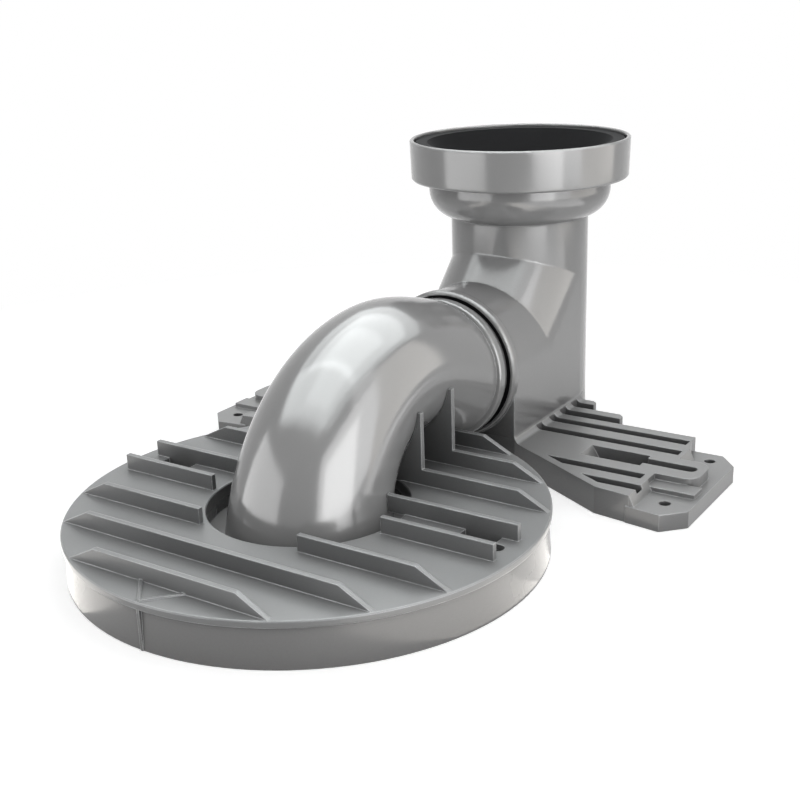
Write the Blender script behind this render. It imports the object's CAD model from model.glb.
# %% [markdown]
# A floor adapter for a toilet, in grey moulded plastic: a ribbed round disc that stands over the
# drain, a swept elbow that leaves it, and a short upright outlet on a corrugated foot. The frame
# brings the CAD solids with their true sizes, so nothing is drawn twice. What is left for Blender
# is how the pieces look: softened mould edges, three finishes, the light and the view.

import math

import bpy
from mathutils import Matrix, Vector


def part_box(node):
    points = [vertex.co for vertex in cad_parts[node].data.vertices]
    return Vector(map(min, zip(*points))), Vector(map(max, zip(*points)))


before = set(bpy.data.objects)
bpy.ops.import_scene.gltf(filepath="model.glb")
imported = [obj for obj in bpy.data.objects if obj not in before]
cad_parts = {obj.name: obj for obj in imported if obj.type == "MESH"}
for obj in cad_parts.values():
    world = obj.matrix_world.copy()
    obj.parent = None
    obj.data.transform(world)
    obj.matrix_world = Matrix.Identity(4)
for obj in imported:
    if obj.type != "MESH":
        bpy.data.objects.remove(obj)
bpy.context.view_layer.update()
MM = 0.001
for name in sorted(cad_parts):
    low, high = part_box(name)
    print(name, "size in mm", [round(v / MM, 1) for v in high - low])

# %% [markdown]
# The view is that of a product photograph: from in front of the disc, a little above it, with a
# long lens. A camera is easiest to place by the direction it looks in, so its axes are worked out
# from a heading, a downward tilt and a small roll, and become the columns of its matrix.

# %% Place the camera
CAMERA_AT = Vector((-479.56, -383.32, 292.52)) * MM
HEADING = math.radians(33.89)
TILT_DOWN = math.radians(19.08)
ROLL = math.radians(-1.99)
FOCAL_MM = 55.73
SENSOR_MM = 36
NEAREST_SEEN = 10 * MM


def camera_axes(heading, tilt, roll):
    """The camera's own right, up and backward directions."""
    ahead = Vector((math.cos(heading) * math.cos(tilt), math.sin(heading) * math.cos(tilt), -math.sin(tilt)))
    side = Vector((math.sin(heading), -math.cos(heading), 0))
    over = side.cross(ahead)
    right = math.cos(roll) * side + math.sin(roll) * over
    up = math.cos(roll) * over - math.sin(roll) * side
    return right, up, -ahead


lens = bpy.data.cameras.new("studio_camera")
lens.lens = FOCAL_MM
lens.sensor_width = SENSOR_MM
lens.clip_start = NEAREST_SEEN
camera = bpy.data.objects.new("studio_camera", lens)
bpy.context.scene.collection.objects.link(camera)
camera.matrix_world = Matrix(camera_axes(HEADING, TILT_DOWN, ROLL)).transposed().to_4x4()
camera.matrix_world.translation = CAMERA_AT
bpy.context.scene.camera = camera
bpy.context.scene.view_settings.view_transform = "Standard"
print("camera at", [round(v, 3) for v in CAMERA_AT], "lens", FOCAL_MM)

# %% [markdown]
# Several finishes share the same small effects. Each is a node group: built once, placed in every
# material with its own numbers. The first one lets the grey drift a little, because pigment never
# mixes evenly in the melt: a slow cloudy change, and a very fine speckle. What the two add up to on
# average is taken off again, so that they change the grey without making it lighter.

# %% Group: uneven pigment
COLOUR, FLOAT = "NodeSocketColor", "NodeSocketFloat"
MID_GREY = (0.25, 0.25, 0.25, 1)
NOISE_ROUGHNESS = 0.55
SPECKLE_SCALE = 900.0
SPECKLE_SHARE = 0.35


def new_group(name, inputs, outputs):
    """A node group with named sockets, and the two nodes that bring them inside."""
    group = bpy.data.node_groups.new(name, "ShaderNodeTree")
    for title, kind, value in inputs:
        socket = group.interface.new_socket(title, in_out="INPUT", socket_type=kind)
        socket.default_value = value
    for title, kind in outputs:
        group.interface.new_socket(title, in_out="OUTPUT", socket_type=kind)
    return group, group.nodes.new("NodeGroupInput"), group.nodes.new("NodeGroupOutput")


def feed(tree, socket, value):
    """Writes a number or a colour in the socket, or links another node's output to it."""
    if isinstance(value, (int, float, tuple)):
        socket.default_value = value
    else:
        tree.links.new(value, socket)


def piece_coordinates(tree):
    """Places in metres that stay with the piece."""
    return tree.nodes.new("ShaderNodeTexCoord").outputs["Object"]


def noise(tree, scale, detail):
    node = tree.nodes.new("ShaderNodeTexNoise")
    feed(tree, node.inputs["Vector"], piece_coordinates(tree))
    feed(tree, node.inputs["Scale"], scale)
    node.inputs["Detail"].default_value = detail
    node.inputs["Roughness"].default_value = NOISE_ROUGHNESS
    return node.outputs["Fac"]


def maths(tree, kind, *values):
    node = tree.nodes.new("ShaderNodeMath")
    node.operation = kind
    for socket, value in zip(node.inputs, values):
        feed(tree, socket, value)
    return node.outputs[0]


pigment, enter, leave = new_group(
    "uneven pigment",
    [("Colour", COLOUR, MID_GREY), ("Amount", FLOAT, 0.1), ("Cloud Scale", FLOAT, 12.0)],
    [("Colour", COLOUR)])
cloud = noise(pigment, enter.outputs["Cloud Scale"], detail=3.0)
speckle = noise(pigment, SPECKLE_SCALE, detail=1.0)
drift = maths(pigment, "MULTIPLY_ADD", speckle, SPECKLE_SHARE, cloud)
drift = maths(pigment, "SUBTRACT", drift, 0.5 * (1.0 + SPECKLE_SHARE))
drift = maths(pigment, "MULTIPLY_ADD", drift, enter.outputs["Amount"], 1.0)
tone = pigment.nodes.new("ShaderNodeVectorMath")
tone.operation = "SCALE"
feed(pigment, tone.inputs[0], enter.outputs["Colour"])
feed(pigment, tone.inputs["Scale"], drift)
feed(pigment, leave.inputs["Colour"], tone.outputs[0])
print("group", pigment.name, "made")

# %% [markdown]
# No moulded edge is truly sharp: each has a radius of a few tenths of a millimetre that catches a
# thin line of light, and handling leaves it a little paler. A bevel on these meshes, with their
# long triangles and short arc steps, would be clamped to nothing. The group rounds the normal
# instead, and where that normal leaves the true one, there is an edge: that is also the mask.

# %% Group: worn mould edges
HANDLED_GREY = (0.75, 0.76, 0.77, 1)
EDGE_FROM, EDGE_TO = 0.02, 0.25
PATCH_SCALE = 55.0
PATCH_FROM, PATCH_TO = 0.25, 0.60
SHORT_RAYS = 6
MIX_SHARE, MIX_FIRST, MIX_SECOND, MIX_COLOUR = 0, 6, 7, 2


def spread(tree, value, low, high):
    """0 up to low, 1 from high on, and even in between."""
    node = tree.nodes.new("ShaderNodeMapRange")
    feed(tree, node.inputs["Value"], value)
    node.inputs["From Min"].default_value = low
    node.inputs["From Max"].default_value = high
    return node.outputs["Result"]


def blend_colour(tree, share, first, second):
    """A Mix node has sockets for several kinds of data, so those for colours go by their number."""
    node = tree.nodes.new("ShaderNodeMix")
    node.data_type = "RGBA"
    feed(tree, node.inputs[MIX_SHARE], share)
    feed(tree, node.inputs[MIX_FIRST], first)
    feed(tree, node.inputs[MIX_SECOND], second)
    return node.outputs[MIX_COLOUR]


edges, enter, leave = new_group(
    "worn mould edges",
    [("Colour", COLOUR, MID_GREY), ("Lift", FLOAT, 0.3), ("Radius", FLOAT, 0.8 * MM)],
    [("Colour", COLOUR), ("Normal", "NodeSocketVector")])
rounded = edges.nodes.new("ShaderNodeBevel")
rounded.samples = SHORT_RAYS
feed(edges, rounded.inputs["Radius"], enter.outputs["Radius"])
true_face = edges.nodes.new("ShaderNodeNewGeometry")
agree = edges.nodes.new("ShaderNodeVectorMath")
agree.operation = "DOT_PRODUCT"
feed(edges, agree.inputs[0], rounded.outputs["Normal"])
feed(edges, agree.inputs[1], true_face.outputs["Normal"])
edge = spread(edges, maths(edges, "SUBTRACT", 1.0, agree.outputs["Value"]), EDGE_FROM, EDGE_TO)
patchy = spread(edges, noise(edges, PATCH_SCALE, detail=3.0), PATCH_FROM, PATCH_TO)
worn = maths(edges, "MULTIPLY", maths(edges, "MULTIPLY", edge, patchy), enter.outputs["Lift"])
feed(edges, leave.inputs["Colour"], blend_colour(edges, worn, enter.outputs["Colour"], HANDLED_GREY))
feed(edges, leave.inputs["Normal"], rounded.outputs["Normal"])
print("group", edges.name, "made")

# %% [markdown]
# Grooves, inner corners and the places under the pipe hold grime and look darker than the open
# faces. How hidden a point is can be asked of the scene: short rays go out over the half space
# above it, and the share that gets away is 1 on an open face and near 0 at the bottom of a groove.
# A long reach also counts what stands close beside the piece, as the disc does to the foot.

# %% Group: grimy hollows
GRIME = (0.01, 0.01, 0.01, 1)
hollows, enter, leave = new_group(
    "grimy hollows",
    [("Colour", COLOUR, MID_GREY), ("Depth", FLOAT, 0.9), ("Reach", FLOAT, 45.0 * MM)],
    [("Colour", COLOUR)])
openness = hollows.nodes.new("ShaderNodeAmbientOcclusion")
openness.samples = SHORT_RAYS
feed(hollows, openness.inputs["Distance"], enter.outputs["Reach"])
hidden = maths(hollows, "SUBTRACT", 1.0, openness.outputs["AO"])
grimy = maths(hollows, "MULTIPLY", hidden, enter.outputs["Depth"])
feed(hollows, leave.inputs["Colour"], blend_colour(hollows, grimy, enter.outputs["Colour"], GRIME))
print("group", hollows.name, "made")

# %% [markdown]
# A steel mould is finished by stoning or spark erosion, and the plastic copies its skin. The group
# gives the height of that skin, which a Bump node turns into a normal, and a roughness that
# wanders where hands have touched the piece.

# %% Group: mould skin
TOUCH_SCALE = 26.0
skin, enter, leave = new_group(
    "mould skin",
    [("Roughness", FLOAT, 0.4), ("Wander", FLOAT, 0.1), ("Grain Scale", FLOAT, 1500.0)],
    [("Roughness", FLOAT), ("Height", FLOAT)])
touched = maths(skin, "SUBTRACT", noise(skin, TOUCH_SCALE, detail=4.0), 0.5)
changed = maths(skin, "MULTIPLY_ADD", touched, enter.outputs["Wander"], enter.outputs["Roughness"])
feed(skin, leave.inputs["Roughness"], changed)
feed(skin, leave.inputs["Height"], noise(skin, enter.outputs["Grain Scale"], detail=2.0))
print("group", skin.name, "made")

# %% [markdown]
# The seals are black rubber: almost no colour of their own, and a dull sheen. A trace of mould
# talc makes them a little greyer in patches. It is the plainest finish here, with only the pigment
# and the skin, so it shows how a group is placed: a node that holds the group gets the material's
# own numbers, and its outputs feed the shader. What never changes over the surface, such as how
# strongly it mirrors, is set on the shader itself.

# %% Material: black rubber
RUBBER_BLACK = (0.006, 0.006, 0.0065, 1)


def new_material(name):
    material = bpy.data.materials.new(name)
    material.use_nodes = True
    return material, material.node_tree, material.node_tree.nodes["Principled BSDF"]


def use_group(tree, group, **values):
    """Places a group with the material's own values. An underscore stands for a space."""
    node = tree.nodes.new("ShaderNodeGroup")
    node.node_tree = group
    for title, value in values.items():
        feed(tree, node.inputs[title.replace("_", " ")], value)
    return node.outputs


def lay_skin(tree, shader, strength, depth, normal=None, **values):
    """Roughness and fine relief from the skin group, over the normal where one is given."""
    surface = use_group(tree, skin, **values)
    feed(tree, shader.inputs["Roughness"], surface["Roughness"])
    bump = tree.nodes.new("ShaderNodeBump")
    bump.inputs["Strength"].default_value = strength
    bump.inputs["Distance"].default_value = depth
    feed(tree, bump.inputs["Height"], surface["Height"])
    if normal is not None:
        feed(tree, bump.inputs["Normal"], normal)
    feed(tree, shader.inputs["Normal"], bump.outputs["Normal"])


rubber, tree, shader = new_material("black rubber")
talced = use_group(tree, pigment, Colour=RUBBER_BLACK, Amount=0.8, Cloud_Scale=30.0)
feed(tree, shader.inputs["Base Color"], talced["Colour"])
lay_skin(tree, shader, strength=0.3, depth=0.03 * MM, Roughness=0.52, Wander=0.25, Grain_Scale=1100.0)
shader.inputs["Specular IOR Level"].default_value = 0.02
print("rubber", rubber.name)

# %% [markdown]
# The disc's top and the foot have a satin skin, so that they hide scratches on a building site.
# The elbow and the upright are polished pipe, and their mitres are rounded more softly than the
# foot's ribs. All are the same grey melt, a little duller where the mould is rougher. One function
# makes the material. Where a moulding changes on the way up, it takes two values, for below and
# above that height, and blends them over a few millimetres.

# %% Materials: grey plastics
GREY = (0.262, 0.262, 0.262, 1)
SKIRT_GREY = (0.264, 0.262, 0.260, 1)
RIB_GREY = (0.248, 0.252, 0.254, 1)
FOOT_GREY = (0.245, 0.246, 0.247, 1)
CHANGE_AT = 18 * MM
CHANGE_OVER = 6 * MM


def height_share(tree, low, high):
    """0 below the height low, 1 above high, measured up from the floor."""
    split = tree.nodes.new("ShaderNodeSeparateXYZ")
    feed(tree, split.inputs[0], piece_coordinates(tree))
    return spread(tree, split.outputs["Z"], low, high)


def by_height(tree, share, value):
    """The value alone where there is no share, and else its two parts blended by the share."""
    if share is None:
        return value
    low, high = value
    if isinstance(low, tuple):
        return blend_colour(tree, share, low, high)
    return maths(tree, "MULTIPLY_ADD", share, high - low, low)


def grey_plastic(name, tone, rough, edge, drift, lift, grain, shine=0.5, grime=0.0, two_part=False):
    """Grey plastic. With two_part, tone, rough and edge are pairs for below and above the change."""
    material, tree, shader = new_material(name)
    share = height_share(tree, CHANGE_AT, CHANGE_AT + CHANGE_OVER) if two_part else None
    coloured = use_group(tree, pigment, Colour=by_height(tree, share, tone), Amount=drift)
    if grime:
        coloured = use_group(tree, hollows, Colour=coloured["Colour"], Depth=grime)
    radius = by_height(tree, share, edge)
    edged = use_group(tree, edges, Colour=coloured["Colour"], Lift=lift, Radius=radius)
    feed(tree, shader.inputs["Base Color"], edged["Colour"])
    lay_skin(tree, shader, strength=0.25, depth=grain, normal=edged["Normal"],
             Roughness=by_height(tree, share, rough), Wander=0.10)
    shader.inputs["Specular IOR Level"].default_value = shine
    return material


disc_plastic = grey_plastic(
    "disc satin plastic", tone=(SKIRT_GREY, RIB_GREY), rough=(0.26, 0.34), edge=(0.8 * MM, 1.0 * MM),
    drift=0.16, lift=0.8, grain=0.02 * MM, shine=0.28, grime=0.9, two_part=True)
pipe_plastic = grey_plastic(
    "pipe gloss plastic", tone=GREY, rough=0.16, edge=0.7 * MM, drift=0.08, lift=0.15, grain=0.004 * MM)
outlet_plastic = grey_plastic(
    "outlet plastic", tone=(FOOT_GREY, GREY), rough=(0.30, 0.17), edge=(0.9 * MM, 1.8 * MM),
    drift=0.10, lift=0.4, grain=0.008 * MM, grime=0.95, two_part=True)
print("plastics", disc_plastic.name, pipe_plastic.name, outlet_plastic.name)

# %% [markdown]
# The solids keep their shape and only get a finish: a material put in the slots of each.

# %% Give every piece its finish
FINISH = {
    "floor_flange": disc_plastic,
    "drain_elbow": pipe_plastic,
    "outlet_body": outlet_plastic,
    "bowl_outlet_seal": rubber,
    "pipe_joint_seal": rubber,
    "floor_gasket": rubber,
}
for name, material in FINISH.items():
    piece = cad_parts[name]
    for slot in piece.material_slots:
        slot.material = material
    print(name, "is", material.name)

# %% [markdown]
# The stage is a table under a white surround. The table is a plain matt white that keeps the
# shadow. The little light that it adds towards the camera, and in reflections, only lifts it to the
# white of the surround, into which it fades further out, so that no edge of the table shows.

# %% Table
TABLE_SIZE = 30
TABLE_MIDDLE = (0.1, 0, -0.2 * MM)
TABLE_WHITE = (0.75, 0.75, 0.75, 1)
TABLE_LIFT = 0.50
MIRROR_LIFT = 0.60
FADE_FROM, FADE_TO = 0.36, 0.60


def seen_rays(tree):
    """1 for the rays that show the background: the camera's, and those in gloss and glass."""
    rays = tree.nodes.new("ShaderNodeLightPath").outputs
    mirrored = maths(tree, "MAXIMUM", rays["Is Glossy Ray"], rays["Is Transmission Ray"])
    return maths(tree, "MAXIMUM", rays["Is Camera Ray"], mirrored)


def emission(tree, strength):
    node = tree.nodes.new("ShaderNodeEmission")
    feed(tree, node.inputs["Strength"], strength)
    return node.outputs[0]


bpy.ops.mesh.primitive_plane_add(size=TABLE_SIZE, location=TABLE_MIDDLE)
table = bpy.context.object
table.name = "table"
table_paint, tree, shader = new_material("white table")
shader.inputs["Base Color"].default_value = TABLE_WHITE
shader.inputs["Roughness"].default_value = 0.9
shader.inputs["Specular IOR Level"].default_value = 0.1
rays = tree.nodes.new("ShaderNodeLightPath").outputs
lift = maths(tree, "MULTIPLY", rays["Is Glossy Ray"], MIRROR_LIFT)
lift = maths(tree, "MULTIPLY_ADD", rays["Is Camera Ray"], TABLE_LIFT, lift)
lifted = tree.nodes.new("ShaderNodeAddShader")
feed(tree, lifted.inputs[0], shader.outputs[0])
feed(tree, lifted.inputs[1], emission(tree, lift))
away = tree.nodes.new("ShaderNodeVectorMath")
away.operation = "LENGTH"
feed(tree, away.inputs[0], piece_coordinates(tree))
far = spread(tree, away.outputs["Value"], FADE_FROM, FADE_TO)
fade = tree.nodes.new("ShaderNodeMixShader")
feed(tree, fade.inputs[0], maths(tree, "MULTIPLY", far, seen_rays(tree)))
feed(tree, fade.inputs[1], lifted.outputs[0])
feed(tree, fade.inputs[2], emission(tree, 1.0))
feed(tree, tree.nodes["Material Output"].inputs["Surface"], fade.outputs[0])
table.data.materials.append(table_paint)
print("table", TABLE_SIZE, "m wide, all white from", FADE_TO, "m out")

# %% [markdown]
# The surround does two jobs. Seen by the camera and in reflections it is white, at a strength of 1.
# As a light it is weaker, so that the lamps can shape the object and the shadows don't fill up.

# %% White surround
AMBIENT = 0.30
world = bpy.data.worlds.new("white surround")
bpy.context.scene.world = world
world.use_nodes = True
tree = world.node_tree
background = tree.nodes["Background"]
background.inputs["Color"].default_value = (1, 1, 1, 1)
strength = maths(tree, "MULTIPLY_ADD", seen_rays(tree), 1.0 - AMBIENT, AMBIENT)
feed(tree, background.inputs["Strength"], strength)
print("surround lights at", AMBIENT, "and shows at 1")

# %% [markdown]
# Three soft boxes light the object, as in a product studio: one overhead and one each side of the
# camera. Their mirror images on the polished pipe are what makes it look round, so they stand where
# those images need them. Each box is a few lamps: one lights the matt surfaces at a plain level, the
# others are seen only in reflections and are as bright as a real soft box, which is brightest in its
# middle. A low panel over the bend widens the overhead image there without lighting the mitres.

# %% Overhead soft box and panel
DOWN = (0, 0, -1)
COOL = (0.96, 1.0, 1.0)


def lamp(name, at, face, size, brightness, seen_by="gloss", tint=(1, 1, 1)):
    """Rectangular lamp seen by matt or by glossy surfaces only. A brightness of 1 is white."""
    light = bpy.data.lights.new(name, "AREA")
    light.shape = "RECTANGLE"
    light.size, light.size_y = size
    light.energy = brightness * math.pi * size[0] * size[1]
    light.color = tint
    holder = bpy.data.objects.new(name, light)
    bpy.context.scene.collection.objects.link(holder)
    holder.location = at
    holder.rotation_euler = Vector(face).to_track_quat("-Z", "Y").to_euler()
    holder.visible_camera = False
    holder.visible_diffuse = seen_by == "matt"
    holder.visible_glossy = seen_by == "gloss"
    print(name, "watts", round(light.energy, 1))


lamp("overhead_light", (0.36, 0.20, 1.02), DOWN, (1.90, 1.75), 0.55, "matt")
lamp("overhead_image", (0.36, 0.20, 1.00), DOWN, (1.90, 1.75), 4.0, tint=COOL)
lamp("overhead_middle", (0.44, 0.05, 0.99), DOWN, (0.92, 1.20), 4.5, tint=COOL)
lamp("overhead_core", (0.26, 0.045, 0.98), DOWN, (0.52, 0.75), 3.2, tint=COOL)
lamp("panel_image", (-0.12, 0.08, 0.41), DOWN, (0.29, 0.54), 4.0, tint=COOL)
lamp("panel_core", (-0.06, -0.01, 0.40), DOWN, (0.18, 0.22), 2.6, tint=COOL)

# %% [markdown]
# The boxes at the sides draw the two upright streaks on the bend. The left one is low and turned
# towards the object. The right one is larger and stronger, and has a core of its own.

# %% Soft boxes left and right
RIGHT_WARD = (0, 1, 0)
LEFT_FACE = (0.75, -0.66, 0)
lamp("left_light", (-0.37, 0.30, 0.15), LEFT_FACE, (0.57, 0.30), 0.7, "matt")
lamp("left_image", (-0.36, 0.29, 0.16), LEFT_FACE, (0.57, 0.30), 5.0)
lamp("right_light", (-0.20, -0.66, 0.345), RIGHT_WARD, (1.00, 0.66), 1.2, "matt")
lamp("right_image", (-0.20, -0.64, 0.345), RIGHT_WARD, (0.90, 0.61), 7.0)
lamp("right_core", (-0.24, -0.63, 0.24), RIGHT_WARD, (0.52, 0.48), 6.0)

# %% [markdown]
# White boards stand on the right and lie on the table beside the disc. They are there for their
# images in the right side of the upright and in the disc's skirt, which mirrors the table before
# it. Light that comes back from a board is a little warmer, so most of them have a warm tint.

# %% White boards
UP = (0, 0, 1)
WARM = (1.0, 0.96, 0.90)
lamp("right_board", (0.60, -0.65, 0.42), RIGHT_WARD, (0.70, 0.86), 3.5, tint=WARM)
lamp("upper_board", (0.12, -0.65, 0.83), RIGHT_WARD, (0.36, 0.36), 3.5)
lamp("right_floor_board", (0.02, -0.44, 0.001), UP, (0.74, 0.36), 3.0)
lamp("right_skirt_board", (-0.14, -0.19, 0.001), UP, (0.32, 0.14), 4.2, tint=WARM)
lamp("far_skirt_board", (0.06, -0.19, 0.001), UP, (0.08, 0.14), 2.2, tint=WARM)
lamp("left_skirt_board", (-0.22, 0.13, 0.001), UP, (0.40, 0.16), 2.8, tint=WARM)

# %% [markdown]
# Two weak lamps, one in front and one on the far side, fill the faces that the boxes miss. Only
# matt surfaces see them, so they add no streaks of their own.

# %% Fill lamps
FROM_FRONT = (0.83, 0.56, -0.50)
FROM_FAR_SIDE = (-0.83, -0.56, -0.35)
lamp("front_light", (-0.66, -0.45, 0.55), FROM_FRONT, (0.60, 0.60), 0.6, "matt")
lamp("far_light", (1.10, 0.75, 0.50), FROM_FAR_SIDE, (0.90, 0.60), 1.5, "matt")
